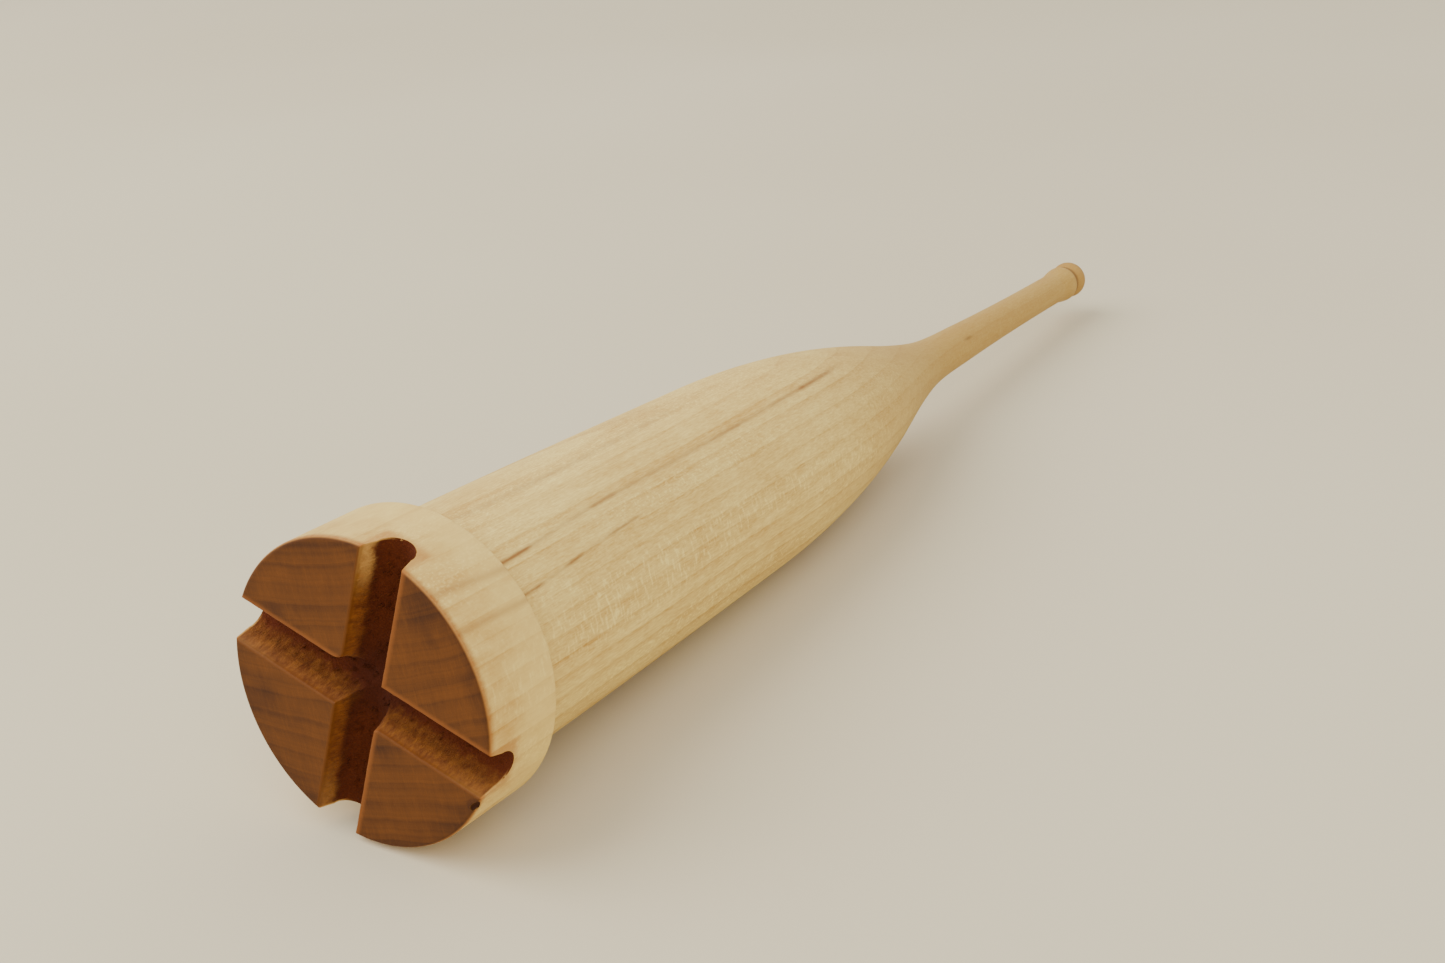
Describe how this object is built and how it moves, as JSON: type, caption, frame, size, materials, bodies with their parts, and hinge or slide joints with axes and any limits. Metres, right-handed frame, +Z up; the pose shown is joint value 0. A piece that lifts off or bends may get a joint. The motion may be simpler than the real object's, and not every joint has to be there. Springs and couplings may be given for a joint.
{
  "type": "carving mallet",
  "caption": "One-piece turned wooden mallet: slotted flat working face, raised collar, long tapering body, thin handle ending in a small button.",
  "frame": {"origin": "centre of the underside of the lying mallet's bounding box, on the surface it rests on", "axes": "+Z up, as the mallet lies on a table; +X from the working face towards the handle's end, which dips 3.4 degrees below level; the turning axis lies in the XZ plane"},
  "size_m": [0.282, 0.0506, 0.0514],
  "materials": {
    "maple": "oiled, satin"
  },
  "bodies": {
    "root": {"mallet": "maple"}
  },
  "joints": []
}
